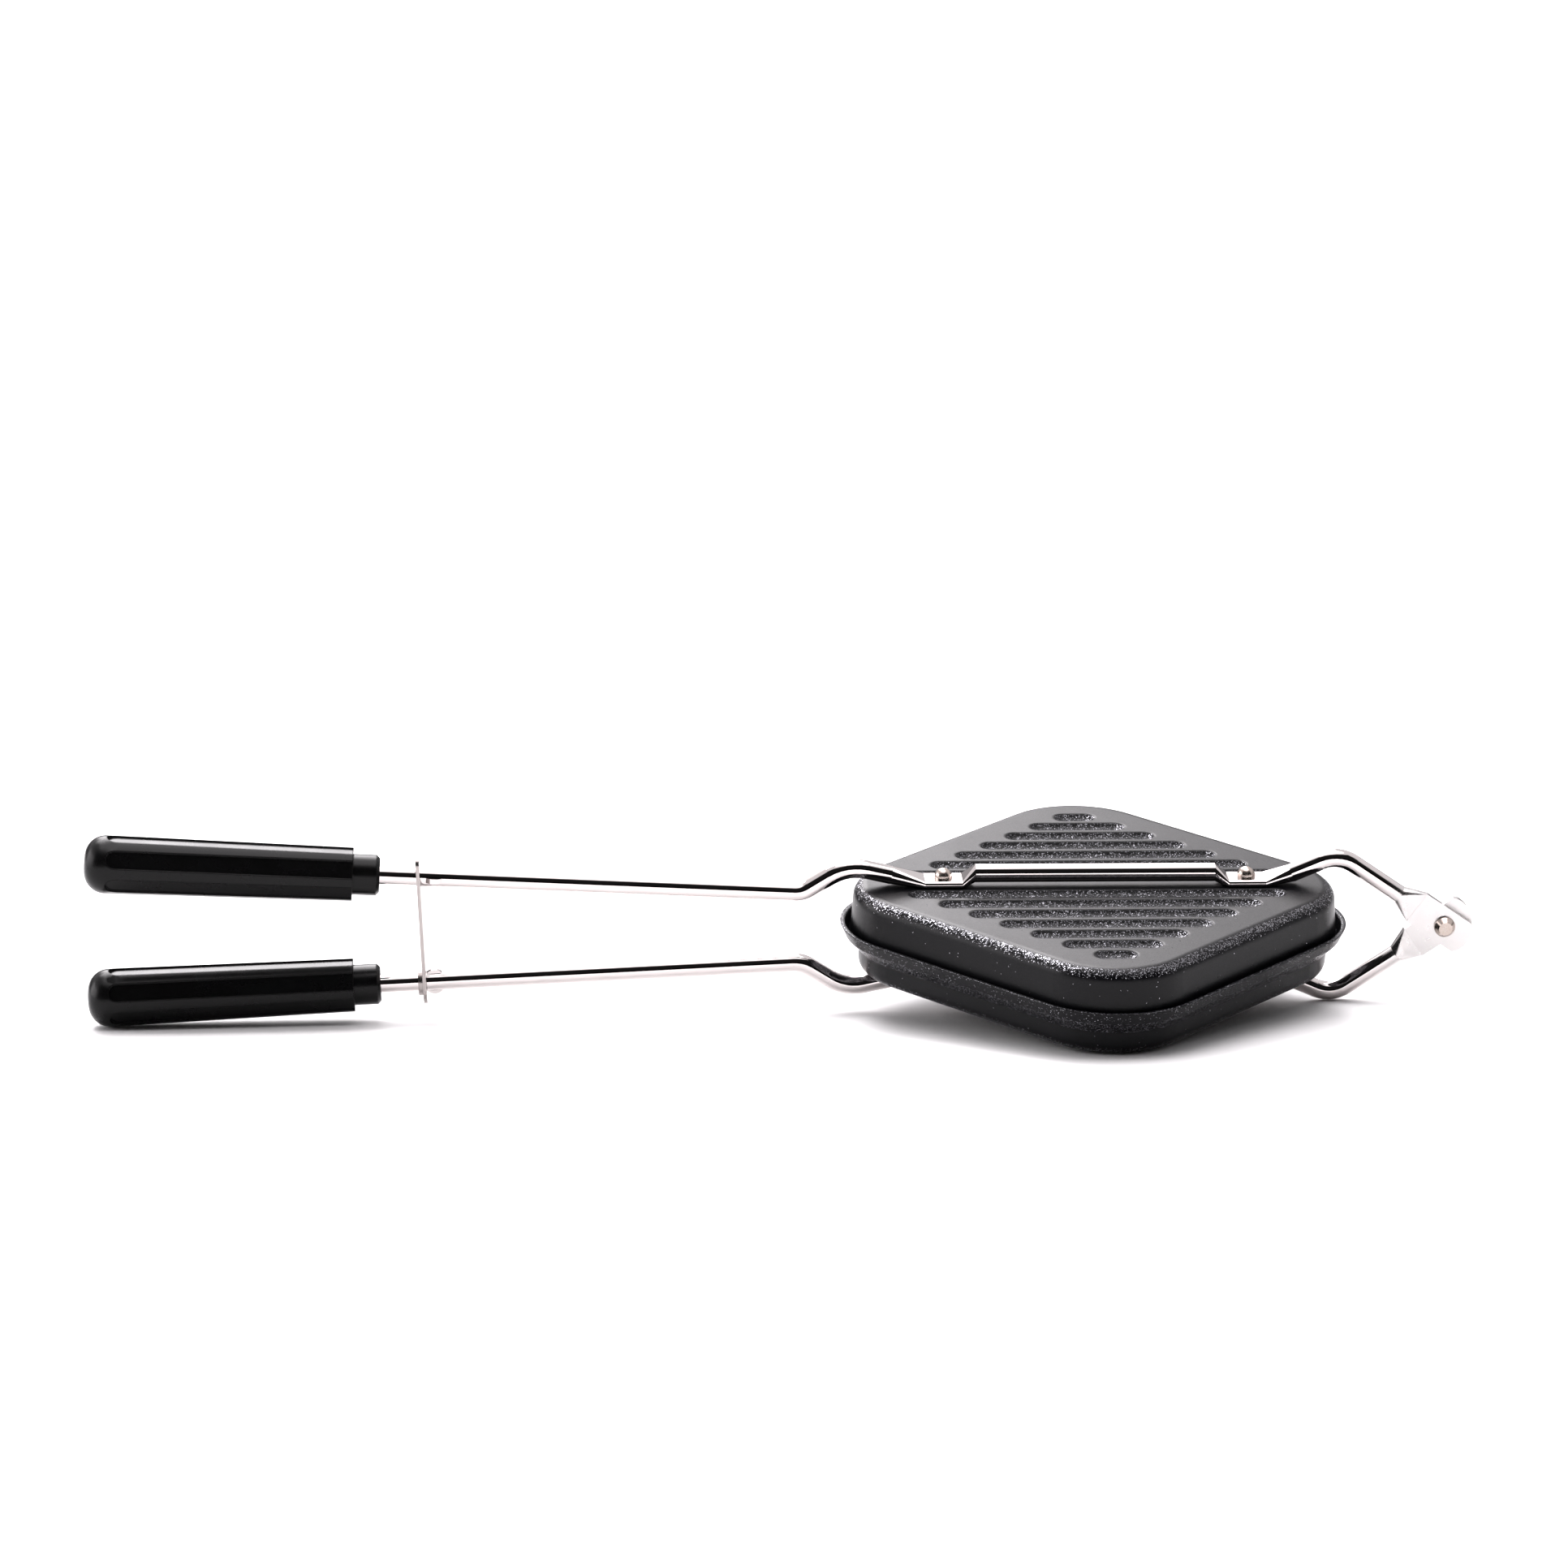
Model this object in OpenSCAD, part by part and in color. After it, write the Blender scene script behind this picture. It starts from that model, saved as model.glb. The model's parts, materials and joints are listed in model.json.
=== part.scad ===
// Stove-top pie iron: two ribbed square pans, corner to the front, each riveted
// to a bent chrome rod. The rods cross at a pivot rivet, end in fluted grips,
// and a swinging hook on the lower rod holds the pair shut.
//
// Sizes are millimetres. Every piece is drawn from the pan centre: +X runs to
// the pivot, -Y to the front corner and +Z up from the plane where the pans
// meet. placed() then moves the whole iron so that it stands on Z = 0, with
// the middle of its box on the Z axis.

/* [Pans] */
// Distance from the pan's centre to the centre of each rounded corner, along a side
pan_core = 32; // [26:0.5:36]
// Outside corner radius at the mouth of the upper pan
mouth_r = 27; // [24:0.5:32]
// Height of each pan's face above the plane where the pans meet
face_h = 13.4; // [12.5:0.1:20]
// Sheet thickness of both pans
sheet = 1.2; // [0.8:0.05:1.6]
// Fillet between the face and the side wall
edge_r = 4; // [3:0.25:5]
// Draft of the side walls, in degrees
draft = 4; // [2:0.5:6]
// How far the upper pan's mouth dips below the meeting plane
mouth_dip = 1; // [0.5:0.1:1.2]
// Depth of the lower pan's shoulder below the meeting plane
shoulder_dip = 5.8; // [5.4:0.1:6.5]
// Outward reach of the lower pan's flared lip, beyond the upper pan's mouth
lip_reach = 2.95; // [2.5:0.05:4]
// Height of the lip's edge above the meeting plane
lip_h = 1.8; // [1:0.1:3]

/* [Grill ribs] */
// Distance between neighbouring grooves
rib_pitch = 8.23; // [8:0.01:8.6]
// Radius of the round groove
rib_r = 3.74; // [3.4:0.02:3.9]
// Depth of the groove below the face
rib_depth = 1.8; // [1.2:0.1:2]
// Rounding of the groove's upper edge
rib_edge_r = 0.8; // [0.5:0.1:1]
// Margin between the groove ends and the rounded corner of the face
rib_margin = 6.8; // [4:0.1:8]

/* [Rods] */
// Diameter of the round rod
rod_d = 5.5; // [5:0.1:6.6]
// Distance from the upper pan's corner to the pivot
pivot_reach = 32.55; // [28:0.05:50]
// Height of the rod's hump beside the pan, on the pivot side, above the pan's face
hump_rise = 9; // [8:0.1:12]
// Height of the hump on the handle side
low_hump_rise = 6; // [5.5:0.05:8]
// Distance along the iron from that hump to the bend where the handle begins
bend_reach_x = 13.1; // [12:0.1:20]
// Height of that bend's corner above the meeting plane
bend_h = 11.05; // [10:0.05:14]
// Slope of the straight handle, in degrees
handle_slope = 2.78; // [2:0.1:4]
// Length of rod held inside each grip
rod_in_grip = 62; // [30:1:70]

/* [Rivet pads] */
// Distance from the pan's centre to each pan rivet
rivet_x = 45; // [42:0.5:48]
// Length of the flat pad around a rivet
pad_l = 11; // [9:0.5:12]
// Width of the flat pad
pad_w = 9.2; // [8:0.1:9.4]
// Thickness of the flat pad
pad_t = 2.2; // [1.8:0.1:2.6]
// Diameter of the pan rivets' shanks
rivet_d = 3.2; // [2.5:0.1:3.8]
// Diameter of the pan rivets' heads
rivet_head_d = 5.3; // [4.8:0.1:6]
// Height of the pan rivets' heads
rivet_head_h = 2.9; // [1.6:0.1:3.2]

/* [Pivot] */
// Width of the flattened end of each rod
eye_w = 10.4; // [9:0.2:11]
// Thickness of the flattened end
eye_t = 2.2; // [1.8:0.1:2.5]
// Length of the flattened end beyond the pivot
eye_tail = 8.8; // [8:0.1:9.8]
// Diameter of the pivot rivet's shank
pivot_d = 4.2; // [3.6:0.1:4.6]
// Diameter of the pivot rivet's head where it meets the rod
pivot_head_d = 6.2; // [5.4:0.1:7]
// Height of the pivot rivet's head
pivot_head_h = 2.3; // [1.6:0.1:3]
// Height of the dome at the pivot rivet's rear
pivot_dome_h = 1.6; // [1:0.1:2.4]

/* [Hook] */
// Distance from the pan's centre to the hook
hook_x = 198; // [150:1:205]
// Thickness of the hook's plate
hook_t = 1; // [0.8:0.1:1.4]
// Width of the hook's plate
hook_w = 13; // [12:0.5:15]
// Height of the hook above the upper rod's centre line
hook_rise = 7.6; // [6.5:0.1:9]
// Diameter of the washer behind the hook
washer_d = 8.2; // [7.5:0.1:10]
// Thickness of that washer
washer_t = 1.3; // [0.8:0.1:1.6]

/* [Grips] */
// Distance from the pan's centre to the pan end of each grip
grip_x = 211; // [209:1:255]
// Length of the narrow neck at the pan end
neck_l = 7.9; // [6:0.1:10]
// Diameter of the neck
neck_d = 12; // [10.5:0.1:13]
// Whole length of a grip, neck and rounded butt included
grip_l = 86.2; // [76:0.2:110]
// Diameter of the grip's body where it meets the neck
grip_front_d = 15.7; // [14.5:0.1:17]
// Diameter of the grip's body at the butt
grip_butt_d = 17.1; // [16:0.1:19]
// Rounding of the butt
butt_r = 6.2; // [5:0.1:7]
// Width of each recessed panel
panel_w = 5.3; // [4:0.1:5.8]
// Depth of each recessed panel at its edges
panel_depth = 0.45; // [0.2:0.05:0.8]

/* [Fits] */
// Clearance between a shank or rod and its hole, all round
hole_gap = 0.05; // [0.02:0.01:0.1]
// Gap between flat faces that slide on each other
slide_gap = 0.1; // [0.05:0.01:0.2]
// Clearance of the rod in the hook's notch
notch_gap = 0.35; // [0.3:0.05:0.5]

/* [Hidden] */
$fn = 96;
hull_fn = 32;
eps = 0.01;
bite = 0.02;
bend_swell = 0.04;
shy = 0.05;
rod_r = rod_d / 2;

// Side walls of the upper pan, as a section measured out from a corner's centre
wall_lean = tan(draft);

// Lower pan: its shoulder lies inside the mouth, and its lip flares out past it
shoulder_inset = 2.4;
knee_inset = 1.55;
knee_dip = 1.8;
lip_r = mouth_r + lip_reach;
knee_r = lip_r - knee_inset;
shoulder_r = mouth_r - shoulder_inset;
lip_angle = atan2(shoulder_dip + lip_h, lip_r - shoulder_r);

// Distance from the pan's centre to its corner, at the mouth
half_diagonal = pan_core * sqrt(2) + mouth_r;

// The round rod clears the pan's face by this much where it lies across it
bar_clear = 0.75;
foot_clear = 0.3;
bar_h = face_h + rod_r + bar_clear;
pad_h = face_h + pad_t / 2;

// Corners of the rod's centre line, from the handle to the pivot, with bend radii
hump_left = [-half_diagonal - 1.15, face_h + low_hump_rise];
hump_left_r = 14;
hump_right = [half_diagonal, face_h + hump_rise];
hump_right_r = 10;
pivot_x = half_diagonal + pivot_reach;
bend_x = -hump_left[0] + bend_reach_x;
bend_r = 8;

// How far the squeezed rod runs from a pad until it is round: outside, and at the bar
left_squeeze = 10;
right_squeeze = 8;
pad_out = 4;
pad_left = -rivet_x - pad_l / 2;
pad_right = rivet_x + pad_l / 2;
left_foot = [pad_left - left_squeeze, face_h + rod_r + foot_clear];
right_foot = [pad_right + right_squeeze, face_h + rod_r + foot_clear];

// The straight run from the right hump to the pivot, and the flattened eye on it
arm_dir = [pivot_x, 0] - hump_right;
arm_angle = atan2(arm_dir[1], arm_dir[0]);
eye_in = 10.4;
eye_neck = 6.5;
eye_side = slide_gap / 2 + eye_t / 2;

// The pivot rivet's button: a low step round a slope up to its flat face
button_step = 0.7;
button_inset = 1.1;

// Handle line: points on the rod's centre line beyond the bend
function handle_point(x) = [-x, bend_h + (x - bend_x) * tan(handle_slope)];
rod_end = handle_point(grip_x + rod_in_grip * cos(handle_slope));

// Hook: square to the lower rod, and long enough to reach over the upper one
hook_foot = handle_point(hook_x);
hook_span = 2 * hook_foot[1] * cos(handle_slope) / cos(2 * handle_slope);
notch_r = rod_r + notch_gap;
ear_l = 4.6;
ear_rise = 1;
ear_t = 1.5;

// Grip: the butt's rounding is a ring of radius butt_r about ring_r, at ring_l
ring_r = grip_butt_d / 2 - butt_r;
ring_l = grip_l - butt_r;
butt_centre = handle_point(grip_x + ring_l * cos(handle_slope));
panel_margin = 6.5;
panel_end = grip_l - panel_margin;

// The eye's end is an arc about the pivot, this wide to each side, with cut corners
eye_spread = 28;
eye_corner = eye_tail * [cos(eye_spread), sin(eye_spread)];

// The iron's box: eye tip and butts along X, the lower butt at the bottom
tip_x = pivot_x + eye_tail * cos(max(0, abs(arm_angle) - eye_spread));
butt_x = butt_centre[0] - ring_r * sin(handle_slope) - butt_r;
bottom_z = -(butt_centre[1] + ring_r * cos(handle_slope) + butt_r);

chrome = [0.82, 0.82, 0.84];
nonstick = [0.16, 0.16, 0.17];
plastic = [0.07, 0.07, 0.08];
nickel = [0.80, 0.74, 0.70];

// ---------- Placing ----------

module placed() {
    translate([-(tip_x + butt_x) / 2, 0, -bottom_z]) children();
}

// The lower half is the upper half turned over about the X axis
module turned_over() {
    rotate([180, 0, 0]) children();
}

// Lays a shape drawn along +Z on the line from a to b in the XZ plane, turned by roll
module along(a, b, roll = 0) {
    d = b - a;
    translate([a[0], 0, a[1]]) rotate([0, atan2(d[0], d[1]), 0]) rotate([0, 0, roll]) children();
}

// ---------- Pans ----------

// Half section of a tray: a flat face at top, a fillet and a leaning wall down to low
module tray_section(r, low, top, fillet) {
    mid = top - fillet;
    cx = r - (mid - low) * wall_lean - fillet / cos(draft);
    polygon([[0, low], [r, low], [cx + fillet * cos(draft), mid + fillet * sin(draft)],
        [cx, mid], [cx, top], [0, top]]);
    translate([cx, mid]) circle(r = fillet);
}

// Sweeps a half section round the pan's rounded square, corner towards -Y
module round_square(height_low, height_top) {
    rotate([0, 0, 45]) {
        for (turn = [0:90:270]) rotate([0, 0, turn]) {
            translate([pan_core, pan_core, 0]) rotate_extrude(angle = 90) children();
            translate([pan_core, pan_core, 0]) rotate([90, 0, 0])
                linear_extrude(height = 2 * pan_core) children();
        }
        translate([-pan_core, -pan_core, height_low])
            cube([2 * pan_core, 2 * pan_core, height_top - height_low]);
    }
}

// Section of the air in one groove: a round trough with rounded upper edges
module groove_section() {
    axis_y = face_h + rib_r - rib_depth;
    over = 0.03;
    round_y = face_h - rib_edge_r + over;
    round_x = sqrt(pow(rib_r + rib_edge_r, 2) - pow(axis_y - round_y, 2));
    share = rib_r / (rib_r + rib_edge_r);
    touch = [round_x * share, axis_y + (round_y - axis_y) * share];
    out_x = round_x - sqrt(pow(rib_edge_r, 2) - pow(rib_edge_r - over, 2));
    intersection() {
        translate([0, axis_y]) circle(r = rib_r);
        translate([0, face_h - 2 * rib_depth]) square([rib_r, touch[1] - face_h + 2 * rib_depth]);
    }
    difference() {
        polygon([[0, touch[1]], touch, [out_x, face_h], [out_x, face_h + 1], [0, face_h + 1]]);
        translate([round_x, round_y]) circle(r = rib_edge_r);
    }
}

// Half length of the groove at distance y from the middle, and how many fit each side
groove_room = half_diagonal - (face_h + mouth_dip) * wall_lean - rib_margin;
rib_count = floor((groove_room - rib_r) / rib_pitch);
function groove_half(y) = groove_room - abs(y);

// Runs a half section along one groove, with round ends
module groove_run(half) {
    for (side = [-1, 1]) translate([side * half, 0, 0])
        rotate([0, 0, side * 90 - 180]) rotate_extrude(angle = 180) children();
    translate([-half, 0, 0]) rotate([90, 0, 90]) linear_extrude(height = 2 * half) {
        children();
        mirror([1, 0]) children();
    }
}

// Puts children at every groove, with the groove's half length as their size
module each_groove(end_r) {
    for (k = [1:rib_count], side = [-1, 1]) {
        y = side * k * rib_pitch;
        $half = groove_half(y) - end_r;
        translate([0, y, 0]) children();
    }
}

// Section of the rib that a groove raises inside the pan: one sheet thicker all round
module rib_section() {
    intersection() {
        translate([0, face_h + rib_r - rib_depth]) circle(r = rib_r + sheet);
        translate([0, face_h - rib_depth - 2 * sheet])
            square([rib_r + sheet, rib_depth + 1.5 * sheet]);
    }
}

// Adds ribs and grooves to a plain tray
module ribbed() {
    difference() {
        union() {
            children();
            each_groove(rib_r) groove_run($half) rib_section();
        }
        each_groove(rib_r) groove_run($half) groove_section();
        for (side = [-1, 1]) translate([side * rivet_x, 0, face_h - 2 * sheet])
            cylinder(r = rivet_d / 2 + hole_gap, h = 4 * sheet);
    }
}

module upper_pan() {
    color(nonstick) placed() ribbed() difference() {
        round_square(-mouth_dip, face_h)
            tray_section(mouth_r, -mouth_dip, face_h, edge_r);
        round_square(-mouth_dip - 1, face_h - sheet)
            tray_section(mouth_r - sheet / cos(draft) + wall_lean, -mouth_dip - 1,
                face_h - sheet, edge_r - sheet);
    }
}

// Half section of the lower pan's lip, drawn over its shoulder and moved in by inset;
// over is how far it stands past the lip's edge
module lip_section(inset, over) {
    move = inset * [-sin(lip_angle), -cos(lip_angle)];
    shoulder = [shoulder_r, shoulder_dip] + move;
    knee = [knee_r, knee_dip] + move;
    edge = [lip_r, -lip_h] + move;
    polygon([[0, shoulder_dip], [0, shoulder[1]], shoulder, knee, edge,
        [edge[0], -lip_h - over], [0, -lip_h - over]]);
}

module lower_pan() {
    color(nonstick) placed() turned_over() ribbed() difference() {
        union() {
            round_square(shoulder_dip - eps, face_h)
                tray_section(shoulder_r, shoulder_dip - eps, face_h, edge_r);
            round_square(-lip_h, shoulder_dip) lip_section(0, 0);
        }
        round_square(shoulder_dip - sheet, face_h - sheet)
            tray_section(shoulder_r - sheet, shoulder_dip - sheet, face_h - sheet, edge_r - sheet);
        round_square(-lip_h - 1, shoulder_dip - sheet) lip_section(sheet, 1);
    }
}

// ---------- Rods ----------

// Distance from a corner to where its bend begins
function bend_reach(p, q, r, radius) =
    radius * tan(abs(turn_angle(p, q, r)) / 2);
function turn_angle(p, q, r) =
    let (a = atan2(q[1] - p[1], q[0] - p[0]), b = atan2(r[1] - q[1], r[0] - q[0])) b - a;
function unit(v) = v / norm(v);
function towards(p, q, far) = p + unit(q - p) * far;

// A straight stretch of round rod, which bites a little into its neighbours
module rod(a, b) {
    along(towards(a, b, -bite), b) cylinder(r = rod_r, h = norm(b - a) + 2 * bite);
}

// The bend at corner q, on the way from p to r
module rod_bend(p, q, r, radius) {
    turn = turn_angle(p, q, r);
    start = towards(q, p, bend_reach(p, q, r, radius));
    heading = atan2(q[1] - p[1], q[0] - p[0]);
    side = turn > 0 ? 1 : -1;
    centre = start + radius * side * [-sin(heading), cos(heading)];
    translate([centre[0], 0, centre[1]]) rotate([90, 0, 0])
        rotate([0, 0, heading - side * 90]) rotate([0, 0, turn > 0 ? 0 : turn])
            rotate_extrude(angle = abs(turn)) translate([radius, 0]) circle(r = rod_r + bend_swell);
}

// A thin slice of round rod, to blend from
module round_slice(at, angle) {
    translate([at[0], 0, at[1]]) rotate([0, 90 - angle, 0])
        cylinder(r = rod_r - shy, h = 2 * bite, center = true, $fn = hull_fn);
}

// The flat pad: parallel faces, with its long edges rounded as a squeezed rod's are
module pad(x) {
    side_r = pad_t / 2;
    translate([x - pad_l / 2, 0, pad_h]) rotate([90, 0, 90]) linear_extrude(height = pad_l) {
        square([pad_w - pad_t, pad_t], center = true);
        for (side = [-1, 1]) translate([side * (pad_w - pad_t) / 2, 0]) circle(r = side_r);
    }
}

// The end of the pad, to blend from
module pad_slice(x) {
    for (side = [-1, 1]) translate([x, side * (pad_w - pad_t) / 2, pad_h])
        rotate([0, 90, 0]) cylinder(r = pad_t / 2 - shy, h = 2 * bite, center = true, $fn = 16);
}

module pads() {
    hull() {
        round_slice(left_foot, atan2(left_foot[1] - hump_left[1], left_foot[0] - hump_left[0]));
        pad_slice(pad_left);
    }
    hull() {
        pad_slice(pad_left + pad_l);
        round_slice([pad_left + pad_l + pad_out, bar_h], 0);
    }
    hull() {
        round_slice([pad_right - pad_l - pad_out, bar_h], 0);
        pad_slice(pad_right - pad_l);
    }
    hull() {
        pad_slice(pad_right);
        round_slice(right_foot, atan2(hump_right[1] - right_foot[1], hump_right[0] - right_foot[0]));
    }
    for (x = [-rivet_x, rivet_x]) pad(x);
}

// The eye: a squeezed end beside the middle plane, cut off along an arc past the pivot
module eye() {
    side = eye_w / 2;
    cut = [1, -1];
    a = eye_corner - (side - eye_corner[1]) * cut;
    b = eye_corner + cut;
    translate([pivot_x, -eye_side, 0]) rotate([0, -arm_angle, 0]) rotate([90, 0, 0])
        linear_extrude(height = eye_t, center = true) {
            translate([-eye_in, -side]) square([eye_in, eye_w]);
            intersection() {
                circle(r = eye_tail);
                polygon([[-1, side], a, b, [b[0], -b[1]], [a[0], -a[1]], [-1, -side]]);
            }
        }
    hull() {
        round_slice(towards([pivot_x, 0], hump_right, eye_in + eye_neck), arm_angle);
        translate([pivot_x, -eye_side, 0]) rotate([0, -arm_angle, 0])
            translate([-eye_in, 0, 0]) cube([2 * bite, eye_t - 2 * shy, eye_w - 2 * shy], center = true);
    }
}

// One of the small ears squeezed out of the rod, a lens standing on its side
module ear(turn) {
    lens_rise = rod_r + ear_rise;
    rotate([0, 0, turn]) translate([0, ear_t / 2, 0]) rotate([90, 0, 0])
        linear_extrude(height = ear_t) intersection() {
            lens_r = (pow(ear_l / 2, 2) + pow(ear_rise, 2)) / (2 * ear_rise);
            translate([lens_rise - lens_r, 0]) circle(r = lens_r);
            translate([0, -ear_l / 2]) square([lens_rise, ear_l]);
        }
}

// A whole bent rod; ear_turn sets which way the hook's ears stand
module arm(ear_turn) {
    bend = [-bend_x, bend_h];
    eye_start = towards([pivot_x, 0], hump_right, eye_in + eye_neck);
    reach_bend = bend_reach(rod_end, bend, hump_left, bend_r);
    reach_left = bend_reach(bend, hump_left, left_foot, hump_left_r);
    reach_right = bend_reach(right_foot, hump_right, eye_start, hump_right_r);
    ear_foot = handle_point(hook_x - hook_t / 2 - slide_gap - ear_l / 2);
    difference() {
        union() {
            rod(rod_end, towards(bend, rod_end, reach_bend));
            rod_bend(rod_end, bend, hump_left, bend_r);
            rod(towards(bend, hump_left, reach_bend), towards(hump_left, bend, reach_left));
            rod_bend(bend, hump_left, left_foot, hump_left_r);
            rod(towards(hump_left, left_foot, reach_left), left_foot);
            rod([pad_left + pad_l + pad_out, bar_h], [pad_right - pad_l - pad_out, bar_h]);
            rod(right_foot, towards(hump_right, right_foot, reach_right));
            rod_bend(right_foot, hump_right, eye_start, hump_right_r);
            rod(towards(hump_right, eye_start, reach_right), eye_start);
            pads();
            eye();
            for (turn = [0, 180]) along(ear_foot, bend, ear_turn + turn) ear(0);
        }
        for (x = [-rivet_x, rivet_x]) translate([x, 0, pad_h - pad_t])
            cylinder(r = rivet_d / 2 + hole_gap, h = 2 * pad_t);
        translate([pivot_x, 0, 0]) rotate([90, 0, 0])
            cylinder(r = pivot_d / 2 + hole_gap, h = 4 * eye_t, center = true);
    }
}

module upper_arm() {
    color(chrome) placed() arm(90);
}

module lower_arm() {
    color(chrome) placed() turned_over() arm(0);
}

// ---------- Grips ----------

// The point where a line from p touches a circle about c, on the side away from the axis
function touch_point(p, c, r) =
    let (d = c - p, far = norm(d), dir = atan2(d[1], d[0]) - asin(r / far))
        p + sqrt(far * far - r * r) * [cos(dir), sin(dir)];

module grip_section() {
    front = [grip_front_d / 2, neck_l];
    ring = [ring_r, ring_l];
    chamfer = 1;
    polygon([[0, 0], [neck_d / 2 - chamfer, 0], [neck_d / 2, chamfer], [neck_d / 2, neck_l],
        front, touch_point(front, ring, butt_r), ring, [ring_r, grip_l], [0, grip_l]]);
    intersection() {
        translate(ring) circle(r = butt_r);
        square([grip_butt_d, grip_l]);
    }
}

// One recessed panel, open at the neck and rounded at the butt
module grip_panel() {
    lean = atan((grip_butt_d - grip_front_d) / 2 / (ring_l - neck_l));
    half = panel_w / 2;
    floor_r = sqrt(pow(grip_front_d / 2, 2) - half * half) - panel_depth;
    translate([floor_r, 0, neck_l]) rotate([0, lean, 0]) rotate([0, 90, 0])
        linear_extrude(height = grip_butt_d) {
            translate([-(panel_end - neck_l - half), -half])
                square([panel_end - neck_l - half + 1, panel_w]);
            translate([-(panel_end - neck_l - half), 0]) circle(r = half);
        }
}

module grip() {
    start = handle_point(grip_x);
    along(start, butt_centre) difference() {
        rotate_extrude() grip_section();
        for (turn = [0:60:300]) rotate([0, 0, turn]) grip_panel();
        translate([0, 0, -1]) cylinder(r = rod_r + hole_gap, h = rod_in_grip + 1 + hole_gap);
    }
}

module upper_grip() {
    color(plastic) placed() grip();
}

module lower_grip() {
    color(plastic) placed() turned_over() grip();
}

// ---------- Rivets ----------

// A round head: a dome of height h on a circle of diameter d, standing on z = 0
module dome_head(d, h) {
    r = (pow(d / 2, 2) + h * h) / (2 * h);
    intersection() {
        translate([0, 0, h - r]) sphere(r = r);
        translate([-d, -d, 0]) cube([2 * d, 2 * d, h]);
    }
}

// A pan rivet: domed outside on the pad, a low flat head inside the pan
module pan_rivet(x) {
    inner_z = face_h - sheet;
    low_head = 0.8;
    translate([x, 0, 0]) {
        translate([0, 0, inner_z - low_head]) cylinder(r = rivet_head_d / 2, h = low_head);
        translate([0, 0, inner_z - eps])
            cylinder(r = rivet_d / 2, h = sheet + pad_t + 2 * eps);
        translate([0, 0, face_h + pad_t]) dome_head(rivet_head_d, rivet_head_h);
    }
}

module upper_rivet_grip_side() {
    color(nickel) placed() pan_rivet(-rivet_x);
}

module upper_rivet_pivot_side() {
    color(nickel) placed() pan_rivet(rivet_x);
}

module lower_rivet_grip_side() {
    color(nickel) placed() turned_over() pan_rivet(-rivet_x);
}

module lower_rivet_pivot_side() {
    color(nickel) placed() turned_over() pan_rivet(rivet_x);
}

// The pivot rivet: a stepped button in front, a low dome behind
module pivot_rivet() {
    seat = slide_gap / 2 + eye_t + slide_gap / 2;
    face_r = pivot_head_d / 2 - button_inset;
    color(nickel) placed() translate([pivot_x, 0, 0]) rotate([90, 0, 0]) {
        translate([0, 0, -seat]) cylinder(r = pivot_d / 2, h = 2 * seat);
        translate([0, 0, seat]) rotate_extrude()
            polygon([[0, 0], [pivot_head_d / 2, 0], [pivot_head_d / 2, button_step],
                [face_r, pivot_head_h], [0, pivot_head_h]]);
        translate([0, 0, -seat]) mirror([0, 0, 1])
            dome_head(pivot_head_d, pivot_dome_h);
    }
}

// ---------- Hook ----------

// Draws children in the hook's own plane: X across the iron, Y up it, Z along the lower rod
module on_lower_rod(back = 0) {
    turned_over() along(handle_point(hook_x + back), [-bend_x, bend_h], -90) children();
}

// The hook's outline: round about the lower rod, a notch open to the rear at the upper
module hook_outline() {
    half = hook_w / 2;
    top = hook_span + hook_rise;
    corner = 2.5;
    difference() {
        union() {
            circle(r = half);
            translate([-half, 0]) square([hook_w, top - corner]);
            translate([-half + corner, top - corner - eps]) square([hook_w - 2 * corner, corner + eps]);
            for (side = [-1, 1]) translate([side * (half - corner), top - corner]) circle(r = corner);
        }
        circle(r = rod_r + hole_gap);
        translate([0, hook_span]) circle(r = notch_r);
        intersection() {
            difference() {
                circle(r = hook_span + notch_r);
                circle(r = hook_span - notch_r);
            }
            translate([0, hook_span / 2]) square([hook_w, hook_span]);
        }
    }
}

module latch_hook() {
    color(chrome) placed() on_lower_rod()
        translate([0, 0, -hook_t / 2]) linear_extrude(height = hook_t) hook_outline();
}

module latch_washer() {
    color(nickel) placed() on_lower_rod(hook_t / 2 + slide_gap + washer_t)
        difference() {
            cylinder(r = washer_d / 2, h = washer_t);
            translate([0, 0, -1]) cylinder(r = rod_r + hole_gap, h = washer_t + 2);
        }
}

lower_pan();
upper_pan();
lower_arm();
upper_arm();
lower_grip();
upper_grip();
pivot_rivet();
latch_hook();
latch_washer();
upper_rivet_grip_side();
upper_rivet_pivot_side();
lower_rivet_grip_side();
lower_rivet_pivot_side();
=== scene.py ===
# %% [markdown]
# # A stove-top pie iron
# The iron's shape comes from its CAD model, so this lesson is about its looks: the flecked
# non-stick coating of the pans, the plated rods, the moulded grips, and the light that shows
# them. The model is in metres: X runs along the handles to the pivot, -Y points to the front
# corner of the pans, and Z points up. The first cell loads it and gives a way to measure the
# box of a piece.

import json
import math

import bpy
from mathutils import Euler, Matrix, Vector


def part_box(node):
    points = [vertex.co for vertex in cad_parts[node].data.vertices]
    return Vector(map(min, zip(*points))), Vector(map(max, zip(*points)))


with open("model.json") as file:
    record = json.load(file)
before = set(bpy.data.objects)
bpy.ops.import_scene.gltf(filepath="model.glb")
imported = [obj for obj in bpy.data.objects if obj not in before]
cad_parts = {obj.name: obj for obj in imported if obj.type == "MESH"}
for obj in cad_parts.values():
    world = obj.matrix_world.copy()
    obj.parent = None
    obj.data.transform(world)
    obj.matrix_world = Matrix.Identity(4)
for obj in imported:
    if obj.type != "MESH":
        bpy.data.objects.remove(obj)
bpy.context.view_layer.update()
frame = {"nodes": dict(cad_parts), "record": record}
nodes = frame["nodes"]


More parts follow.
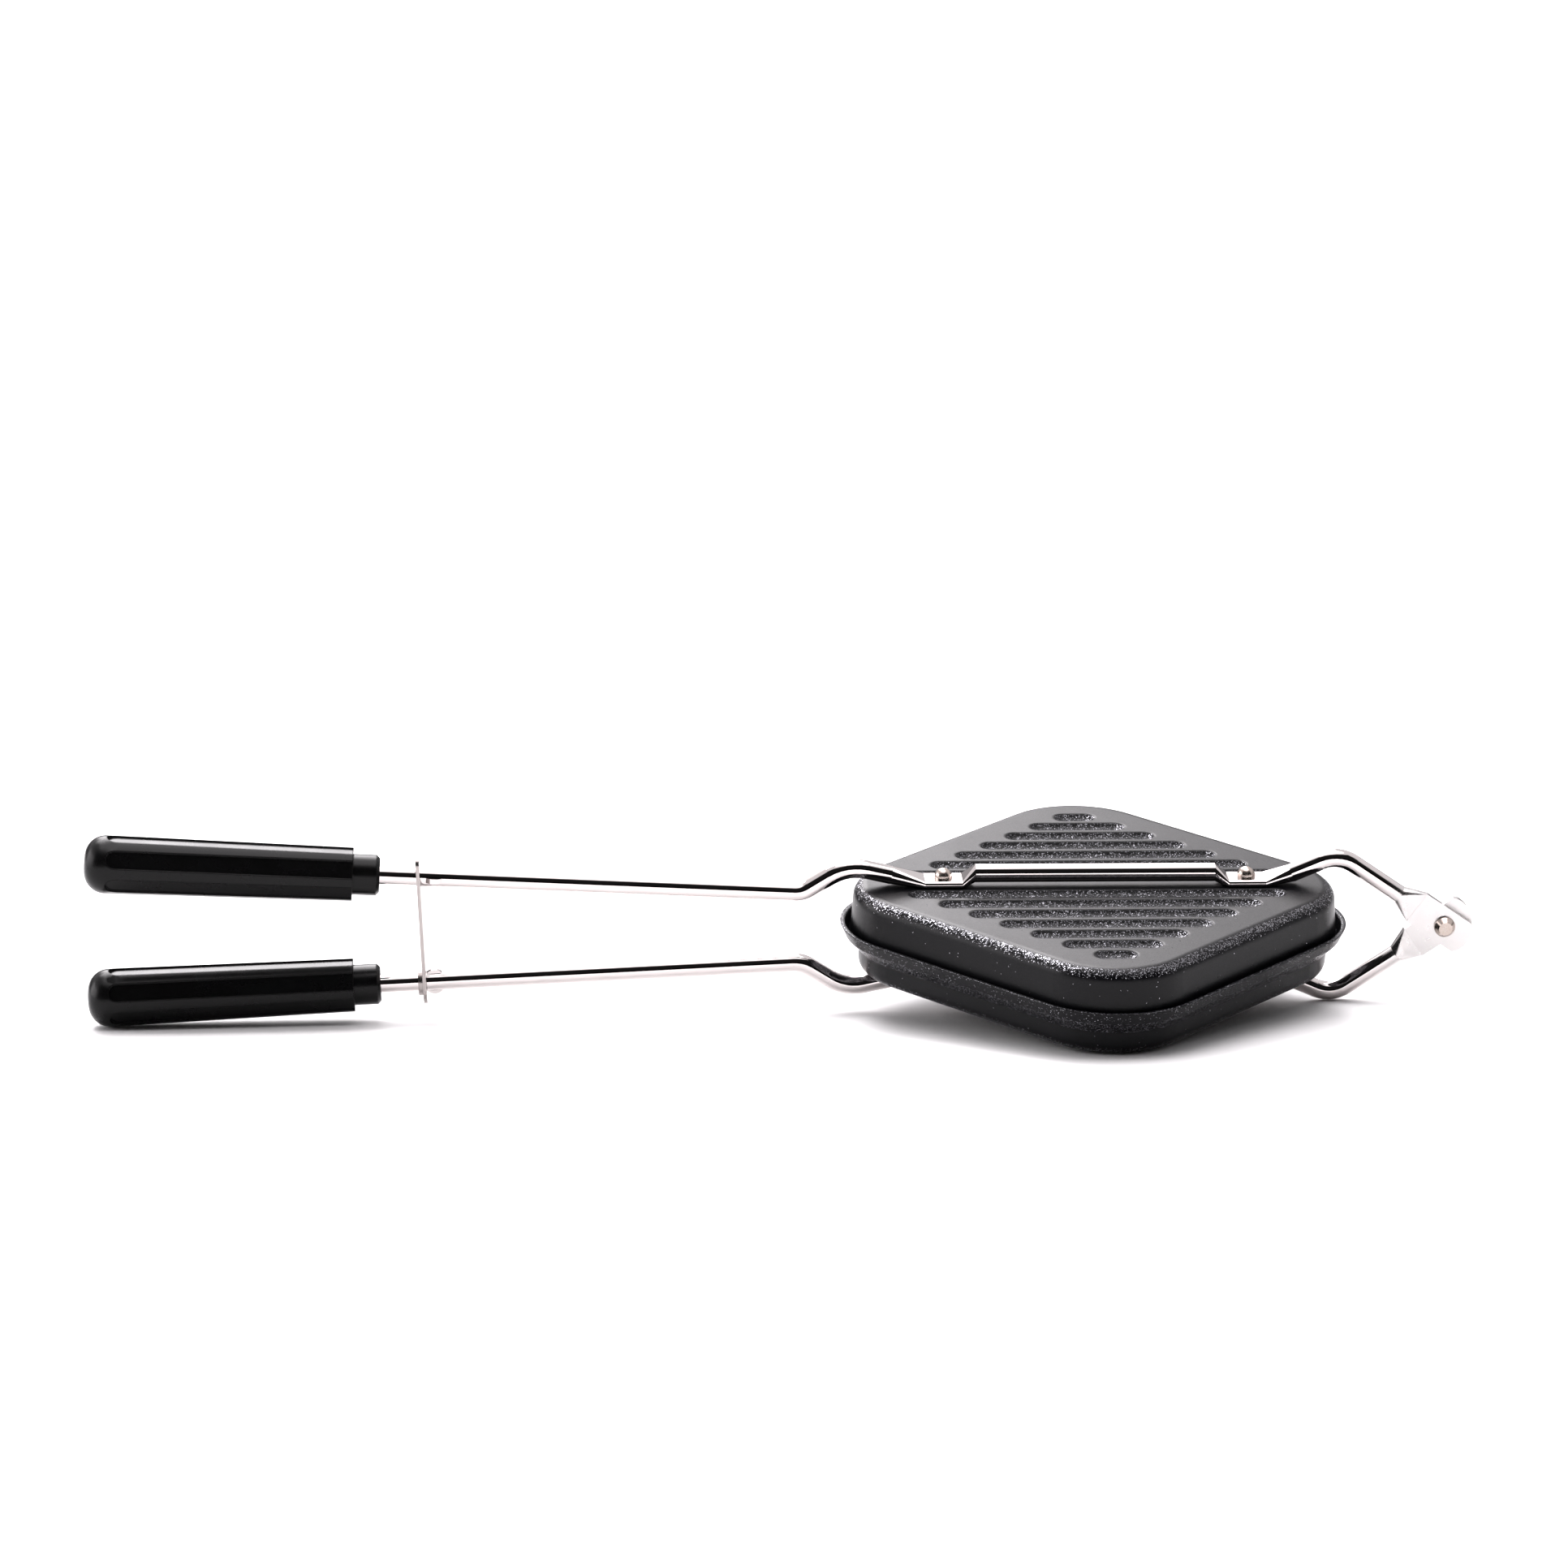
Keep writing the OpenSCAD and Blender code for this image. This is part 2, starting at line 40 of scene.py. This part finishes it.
# %% [markdown]
# ## Camera
# The iron was photographed with a long lens from a little above and a little to the left of
# the pans. A long lens keeps the handles, which come no nearer than the pans, in proportion.
# The place and angles were found by fitting the grooves, the rims and the rods' bends to the
# photograph, so they are written here as numbers. The picture is square.

# %% Camera
SENSOR_WIDTH = 36
FOCAL_LENGTH = 120.87
FAR_CLIP = 100
CAMERA_PLACE = (-0.08446, -1.4520, 0.5891)
CAMERA_TURN = (70.5154, -0.8137, -3.0151)

lens = bpy.data.cameras.new("long_lens")
lens.sensor_width = SENSOR_WIDTH
lens.sensor_fit = "HORIZONTAL"
lens.lens = FOCAL_LENGTH
lens.clip_end = FAR_CLIP
camera = bpy.data.objects.new("camera", lens)
camera.location = CAMERA_PLACE
camera.rotation_euler = Euler([math.radians(a) for a in CAMERA_TURN])
bpy.context.collection.objects.link(camera)
bpy.context.scene.camera = camera
print("camera at", CAMERA_PLACE, "with a lens of", FOCAL_LENGTH, "mm")

# %% [markdown]
# ## Table
# A closed iron doesn't lie level. Its rods hold the pans off the table, so it rolls on to
# three points: the butt of the lower grip, the rod's low bend beside the pivot, and the front
# corner of the lower pan. The iron could be tilted to a level table, but then nothing would
# match the CAD model's frame any more. So the model stays as it is, and the table goes through
# the three points, which tilts it against the model.

# %% Plane of the table
GRIP_BUTT = Vector((-0.1986, -0.00178, 0.0002))
ROD_BEND = Vector((0.16422, -0.00067, 0.00585))
PAN_CORNER = Vector((0.09312, -0.06641, 0.01621))

table_up = (GRIP_BUTT - ROD_BEND).cross(PAN_CORNER - ROD_BEND).normalized()
if table_up.z < 0:
    table_up.negate()
tilt = Vector((0, 0, 1)).rotation_difference(table_up)
print("table tilts", round(math.degrees(tilt.angle), 2), "degrees")

# %% [markdown]
# The table itself is a wide disc, made by one bmesh operator and turned on to that plane, a
# hair below the iron so that nothing touches.

# %% Table
import bmesh
from mathutils import Matrix

TABLE_RADIUS = 30
TABLE_SIDES = 96
HAIR = 0.0002

table = bpy.data.objects.new("table", bpy.data.meshes.new("table"))
bm = bmesh.new()
bmesh.ops.create_circle(bm, cap_ends=True, segments=TABLE_SIDES, radius=TABLE_RADIUS)
on_plane = Matrix.Translation(PAN_CORNER - HAIR * table_up) @ tilt.to_matrix().to_4x4()
bmesh.ops.transform(bm, matrix=on_plane, verts=bm.verts)
bmesh.ops.recalc_face_normals(bm, faces=bm.faces)
bm.normal_update()
if bm.faces[:][0].normal.dot(table_up) < 0:
    bmesh.ops.reverse_faces(bm, faces=bm.faces)
bm.to_mesh(table.data)
bm.free()
bpy.context.collection.objects.link(table)
print("table of", 2 * TABLE_RADIUS, "m across")


# %% [markdown]
# ## Writing shaders as sums
# A finish is a small recipe: so much fleck, a little more roughness near the edge. Node
# trees hide such recipes, so this class wraps one node output and lets Python's operators
# add the Math nodes.

# %% A socket that can be calculated with
class Wire:
    def __init__(self, tree, socket):
        self.tree, self.socket = tree, socket

    def maths(self, operation, other=None, reflected=False):
        first, second = (other, self) if reflected else (self, other)
        values = {0: first} if second is None else {0: first, 1: second}
        return node(self.tree, "ShaderNodeMath", {"operation": operation}, values)

    def __add__(self, other):
        return self.maths("ADD", other)

    __radd__ = __add__

    def __sub__(self, other):
        return self.maths("SUBTRACT", other)

    def __rsub__(self, other):
        return self.maths("SUBTRACT", other, reflected=True)

    def __mul__(self, other):
        return self.maths("MULTIPLY", other)

    __rmul__ = __mul__

    def __gt__(self, other):
        return self.maths("GREATER_THAN", other)


# %% [markdown]
# Everything else goes through one function, which takes the node's type, its settings and
# the values or wires of its sockets. The settings come first, because some of them change
# which sockets a node has.

# %% Adding a node
def node(tree, kind, settings=None, values=None, out=0):
    """Adds one node and returns a wire from its output called out."""
    made = tree.nodes.new(kind)
    for name, value in (settings or {}).items():
        setattr(made, name, value)
    for key, value in (values or {}).items():
        if isinstance(value, Wire):
            tree.links.new(value.socket, made.inputs[key])
        else:
            made.inputs[key].default_value = value
    return Wire(tree, made.outputs[out]) if made.outputs else made


# %% [markdown]
# A few nodes come up again and again. Each gets a short name here, so that a recipe further
# down fits on a line.

# %% Short names for common nodes
def vectors(tree, operation, values, out=0):
    return node(tree, "ShaderNodeVectorMath", {"operation": operation}, values, out)


def dot(tree, vector, along):
    return vectors(tree, "DOT_PRODUCT", {0: vector, 1: along}, "Value")


def axis(tree, vector, number):
    """X, Y or Z of a vector, as number 0, 1 or 2."""
    return node(tree, "ShaderNodeSeparateXYZ", values={0: vector}, out=number)


def noise(tree, place, scale, detail):
    values = {"Vector": place, "Scale": scale, "Detail": detail}
    return node(tree, "ShaderNodeTexNoise", values=values, out="Fac")


def mix_colours(tree, share, first, second):
    """Mixes two colours, each of them a wire or three numbers."""
    first, second = (c if isinstance(c, Wire) else (*c, 1) for c in (first, second))
    values = {0: share, 6: first, 7: second}
    return node(tree, "ShaderNodeMix", {"data_type": "RGBA"}, values, out=2)


def step(tree, value, low, high):
    """0 below low, 1 above high, and a smooth climb between."""
    return node(tree, "ShaderNodeMapRange", {"interpolation_type": "SMOOTHSTEP"},
                {"Value": value, "From Min": low, "From Max": high})


# %% [markdown]
# ## Light
# The photograph is a product shot in a light tent, and the pans are black, so what is seen of
# them is mostly mirrored light. Lamps could be set up one by one, but their places can be
# read off the iron: its rods mirror a dark room behind the camera as a black band, its flat
# lands mirror a pale screen behind it, and its bright edges mirror a soft box high up at the
# back left. The world is built from just those panels. It depends on the direction alone, so
# it stays in place when the camera moves. Directions are measured over the table: height in
# degrees above it, and azimuth in degrees from straight behind the iron, to the right.

# %% Directions
DEGREES = 180 / math.pi

world = bpy.data.worlds.new("light_tent")
bpy.context.scene.world = world
world.use_nodes = True
sky = world.node_tree
sky.nodes.clear()
front = Vector((0, -1, 0))
front = (front - front.dot(table_up) * table_up).normalized()
right = table_up.cross(front)
way = node(sky, "ShaderNodeTexCoord", out="Generated")
height = dot(sky, way, table_up).maths("ARCSINE") * DEGREES
azimuth = dot(sky, way, right).maths("ARCTAN2", dot(sky, way, -front)) * DEGREES
print("the tent's front looks along", tuple(round(v, 3) for v in front))


# %% [markdown]
# Each panel is a patch of the sky between two azimuths and two heights. Real panels stand
# close to the iron, so their mirrored edges are soft, and so are these. A line below gives a
# panel's brightness first, then its azimuths and its heights. The tent's own wall is dim near
# the table and paler above, and the overhead sheet closes the tent from all sides.

# %% Panels of the tent
def span(value, low, high, soft):
    rising = step(sky, value, low - soft, low + soft)
    falling = 1 - step(sky, value, high - soft, high + soft)
    return rising * falling


def panel(azimuth_from, azimuth_to, height_from, height_to, soft=4):
    """1 inside a panel of the tent, 0 outside it, and a climb of 2 * soft at its edges."""
    across = span(azimuth, azimuth_from, azimuth_to, soft)
    return across * span(height, height_from, height_to, soft)


DIM_WALL, PALER_BY = 0.25, 0.9
tent = DIM_WALL + PALER_BY * step(sky, height, 8, 26)
rear_screen = 8.0 * panel(-20, 6, 24, 45, soft=6)
key_box = 9.0 * panel(-42, 14, 44, 68)
overhead = 3.0 * step(sky, height, 62, 70)
right_card = 0.4 * panel(90, 132, -4, 24)
left_card = 4.0 * panel(-125, -60, 2, 30)
print("tent with a rear screen, a key box, an overhead sheet and a card on either side")

# %% [markdown]
# The dark room behind the camera swallows nearly all of the light on that side, up to well
# over the camera. It could be left out, but then the rods and the pans' front walls would
# turn pale. Under the table there is no light at all.

# %% Dark room
SWALLOWED = 0.98
LIGHT_COLOUR = (1.0, 0.972, 0.99, 1)

from_front = 180 - azimuth.maths("ABSOLUTE")
dark_room = (1 - step(sky, from_front, 60, 80)) * (1 - step(sky, height, 52, 57))
above_table = step(sky, height, -3, -1)
panels = tent + rear_screen + key_box + overhead + right_card + left_card
shine = panels * (1 - SWALLOWED * dark_room) * above_table
glow = node(sky, "ShaderNodeBackground", values={"Color": LIGHT_COLOUR, "Strength": shine})
node(sky, "ShaderNodeOutputWorld", values={"Surface": glow})
print("world of", len(sky.nodes), "nodes")

# %% [markdown]
# The table is plain and pale, with a trace of unevenness. Further out it glows, as a sheet
# does that has its own lamps, so that it runs into the white background without a horizon.
# Its lower side is clear, so that a low view from the front, which looks up from under the
# tilted table, still shows the iron.

# %% Table finish
GLOW_STARTS, GLOW_FULL, GLOW = 0.3, 1.2, 0.7
DARKER_PAPER, PALER_PAPER = (0.90,) * 3, (0.92,) * 3

paper = bpy.data.materials.new("table_paper")
paper.use_nodes = True
sheet = paper.node_tree
sheet.nodes.clear()
spot = node(sheet, "ShaderNodeTexCoord", out="Object")
away = step(sheet, vectors(sheet, "LENGTH", {0: spot}, "Value"), GLOW_STARTS, GLOW_FULL)
far_light = mix_colours(sheet, away, (0, 0, 0), (1, 1, 1))
tone = mix_colours(sheet, noise(sheet, spot, 3, 2), DARKER_PAPER, PALER_PAPER)
matt = node(sheet, "ShaderNodeBsdfPrincipled", values={
    "Base Color": tone, "Roughness": 0.9, "Specular IOR Level": 0.0,
    "Emission Color": far_light, "Emission Strength": GLOW})
clear = node(sheet, "ShaderNodeBsdfTransparent")
under = node(sheet, "ShaderNodeNewGeometry", out="Backfacing")
both = node(sheet, "ShaderNodeMixShader", values={0: under, 1: matt, 2: clear})
node(sheet, "ShaderNodeOutputMaterial", values={"Surface": both})
table.data.materials.append(paper)
print(paper.name, "has", len(sheet.nodes), "nodes")


# %% [markdown]
# ## Finishes
# Every finish starts with a Principled shader in an empty tree. What is the same all over
# the piece is set on the shader's own socket, and what varies is fed to it. Patterns read
# Object coordinates: the pieces' objects all sit at the model's origin, so one pattern runs
# through all of them at its real scale.

# %% Start of a finish
def finish(name, **constants):
    material = bpy.data.materials.new(name)
    material.use_nodes = True
    tree = material.node_tree
    tree.nodes.clear()
    shader = node(tree, "ShaderNodeBsdfPrincipled", values=constants)
    node(tree, "ShaderNodeOutputMaterial", values={"Surface": shader})
    place = node(tree, "ShaderNodeTexCoord", out="Object")
    return material, tree, shader.socket.node, place


def feed(material, shader, **wires):
    for name, wire in wires.items():
        material.node_tree.links.new(wire.socket, shader.inputs[name.replace("_", " ")])
    print(material.name, "varies in", ", ".join(wires))


def bumped(tree, height, distance, strength, **base):
    values = {"Height": height, "Distance": distance, "Strength": strength, **base}
    return node(tree, "ShaderNodeBump", values=values)


# %% [markdown]
# ### Non-stick coating
# The pans are sprayed with a charcoal coating that carries fine mineral flecks. Spraying and
# use aren't even: the flat lands are smooth and satin, and the flecks show in the grooves and
# along the rounded edges. Both can be told apart by shape alone, so no mask is painted: a
# land is as far from the middle of the iron as the pan goes, and a groove or an edge faces
# mostly up or down without being a land.

# %% Where the flecks show
nonstick, tree, shader, place = finish("flecked_nonstick", IOR=1.33)
MIDDLE = 0.0295
FACE = max(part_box("upper_pan")[1][2] - MIDDLE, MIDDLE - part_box("lower_pan")[0][2])
LAND_STARTS, LAND_FULL = FACE - 0.0003, FACE - 0.0001
STEEP, FLAT = 0.3, 0.8

out_from_middle = (axis(tree, place, 2) - MIDDLE).maths("ABSOLUTE")
rubbed = step(tree, out_from_middle, LAND_STARTS, LAND_FULL)
facing = axis(tree, node(tree, "ShaderNodeTexCoord", out="Normal"), 2).maths("ABSOLUTE")
sprayed = step(tree, facing, STEEP, FLAT) * (1 - rubbed)
print("the lands lie", round(FACE * 1000, 2), "mm from the middle of the iron")

# %% [markdown]
# Up close each fleck is a tiny flat mirror that lies at its own angle. Noise would give soft
# blotches, so a Voronoi pattern is used, whose cells have straight sides and a random colour
# each. Its red picks the cells that glint, two in a thousand on a plain wall and over a third
# in a groove, and the whole colour is the way a cell leans.

# %% Flecks
FLECK_SIZE = 0.00027
PLAIN, DENSER_BY = 0.998, 0.36
LEAN, SPRAYED_LEAN, GLINT_LEAN = 0.04, 0.06, 0.8

cells = {"Vector": place, "Scale": 1 / FLECK_SIZE}
cell = node(tree, "ShaderNodeTexVoronoi", {"feature": "F1"}, cells, out="Color")
red = node(tree, "ShaderNodeSeparateColor", values={0: cell}, out=0)
glint = red > PLAIN - sprayed * DENSER_BY
lean = LEAN + sprayed * SPRAYED_LEAN + glint * GLINT_LEAN
leans = vectors(tree, "SUBTRACT", {0: cell, 1: (0.5, 0.5, 0.5)})
leans = vectors(tree, "SCALE", {0: leans, "Scale": lean})
print("flecks of", FLECK_SIZE * 1000, "mm")

# %% [markdown]
# The coating lies thick on the pressing's edges and rounds them. A Bevel node gives that
# look without touching the CAD shape: near an edge it turns the surface's direction
# gradually from one side to the other, so the edges catch the light. A slow noise keeps the
# satin sheen from being perfectly even.

# %% Non-stick coating
EDGE_RADIUS = 0.0011
DEEP_CHARCOAL, CHARCOAL = (0.003, 0.003, 0.0042), (0.005, 0.005, 0.0068)
MINERAL, MINERAL_METAL = (0.30, 0.30, 0.32), 0.85
SATIN, CLOUDED, POLISHED = 0.26, 0.1, 0.1

cloud = noise(tree, place, 60, 4)
colour = mix_colours(tree, glint, mix_colours(tree, cloud, DEEP_CHARCOAL, CHARCOAL), MINERAL)
softened = node(tree, "ShaderNodeBevel", {"samples": 4}, {"Radius": EDGE_RADIUS})
leaning = vectors(tree, "NORMALIZE", {0: vectors(tree, "ADD", {0: softened, 1: leans})})
feed(nonstick, shader, Base_Color=colour, Roughness=SATIN + cloud * CLOUDED - glint * POLISHED,
     Metallic=glint * MINERAL_METAL, Normal=leaning)

# %% [markdown]
# ### Chrome
# Plated steel mirrors its surroundings almost perfectly. Only two things give it away as
# metal that has been bent and squeezed: a trace of waviness, and the flattened ends at the
# pivot, which the press left dull and marked. The ends could be a material of their own, but
# the dullness sets in gradually, so it is a mask along X in one material.

# %% Chrome
PLATED, PRESSED = (0.61, 0.575, 0.568), (0.615, 0.60, 0.595)
ROUND_ENDS, EYE_STARTS = 0.176, 0.188
MIRROR, SMEARED = 0.04, 0.03
PRESSED_DULL, PRESSED_SMEARED = 0.12, 0.3
WAVINESS, DENT_DEPTH = 0.4, 0.00012

chrome, tree, shader, place = finish("chrome_plate", Metallic=1.0)
squeezed = step(tree, axis(tree, place, 0), ROUND_ENDS, EYE_STARTS)
smear, waves = noise(tree, place, 420, 5), noise(tree, place, 45, 1)
dull = squeezed * (PRESSED_DULL + smear * PRESSED_SMEARED)
dents = bumped(tree, waves * WAVINESS + squeezed * smear, DENT_DEPTH, 0.5)
feed(chrome, shader, Base_Color=mix_colours(tree, squeezed, PLATED, PRESSED),
     Roughness=MIRROR + smear * SMEARED + dull, Normal=dents)

# %% [markdown]
# ### Grip plastic
# The grips are moulded in a hard black plastic with a slight gloss. Handling leaves a faint
# unevenness in the gloss, which matters more than colour on something this dark. Moulded
# edges are never sharp, so a Bevel node rounds them too, and the fine grain of the mould
# stands on that rounded surface.

# %% Grip plastic
BLACK, WORN_BLACK = (0.003, 0.003, 0.0033), (0.005, 0.005, 0.0054)
MOULD_RADIUS, GRAIN_DEPTH = 0.0005, 0.00004
GLOSSY, HANDLED = 0.2, 0.14

plastic, tree, shader, place = finish("black_grip", IOR=1.33)
handled, moulded = noise(tree, place, 110, 5), noise(tree, place, 900, 2)
rounded = node(tree, "ShaderNodeBevel", {"samples": 6}, {"Radius": MOULD_RADIUS})
grain = bumped(tree, moulded, GRAIN_DEPTH, 0.35, Normal=rounded)
feed(plastic, shader, Base_Color=mix_colours(tree, handled, BLACK, WORN_BLACK),
     Roughness=GLOSSY + handled * HANDLED, Normal=grain)

# %% [markdown]
# ### Rivets
# The rivets are nickel plated, which is warmer and softer than chrome. Setting them has
# worn the heads unevenly, so one fine noise changes their colour, gloss and surface together.

# %% Rivets
WORN_NICKEL, NICKEL = (0.40, 0.34, 0.305), (0.54, 0.485, 0.45)
NICKEL_GLOSS, WORN_DULL, WEAR_DEPTH = 0.16, 0.2, 0.00005

nickel, tree, shader, place = finish("warm_nickel", Metallic=1.0)
worn = noise(tree, place, 700, 4)
feed(nickel, shader, Base_Color=mix_colours(tree, worn, WORN_NICKEL, NICKEL),
     Roughness=NICKEL_GLOSS + worn * WORN_DULL, Normal=bumped(tree, worn, WEAR_DEPTH, 0.5))

# %% [markdown]
# ### Hook and washer
# The hook and its washer are stamped from sheet, and the rolling of the sheet left fine
# lines that run up the plate. Noise that is stretched along Z draws such lines.

# %% Hook and washer
DARK_LINE, PALE_LINE = (0.30, 0.275, 0.268), (0.46, 0.43, 0.42)
LINES_PER_METRE = (2500, 2500, 60)
STEEL_GLOSS, LINE_DULL, LINE_DEPTH = 0.18, 0.2, 0.00003

stamped, tree, shader, place = finish("stamped_steel", Metallic=1.0)
stretched = node(tree, "ShaderNodeMapping", values={"Vector": place, "Scale": LINES_PER_METRE})
lines = noise(tree, stretched, 1, 3)
feed(stamped, shader, Base_Color=mix_colours(tree, lines, DARK_LINE, PALE_LINE),
     Roughness=STEEL_GLOSS + lines * LINE_DULL, Normal=bumped(tree, lines, LINE_DEPTH, 0.4))

# %% [markdown]
# ## Putting the finishes on
# The CAD pieces already have one material slot each. Only what is in the slot changes.

# %% Assign
FINISH_OF = {"nonstick": nonstick, "chrome": chrome, "grip": plastic,
             "rivet": nickel, "hook": stamped}
for part in frame["record"]["subparts"]:
    piece = nodes[part["node"]]
    for slot in piece.material_slots:
        slot.material = FINISH_OF[part["material_slot"]]
    print(part["node"], "gets", piece.material_slots[0].material.name)

# %% [markdown]
# ## Tone
# The photograph's white is paper white, so the plain transform is used: it leaves white
# white. A gamma a little under one deepens the darks, as the printed picture does.

# %% Tone
GAMMA = 0.85

tones = bpy.context.scene.view_settings
tones.view_transform = "Standard"
tones.look = "None"
tones.gamma = GAMMA
print(tones.view_transform, "transform with gamma", GAMMA)
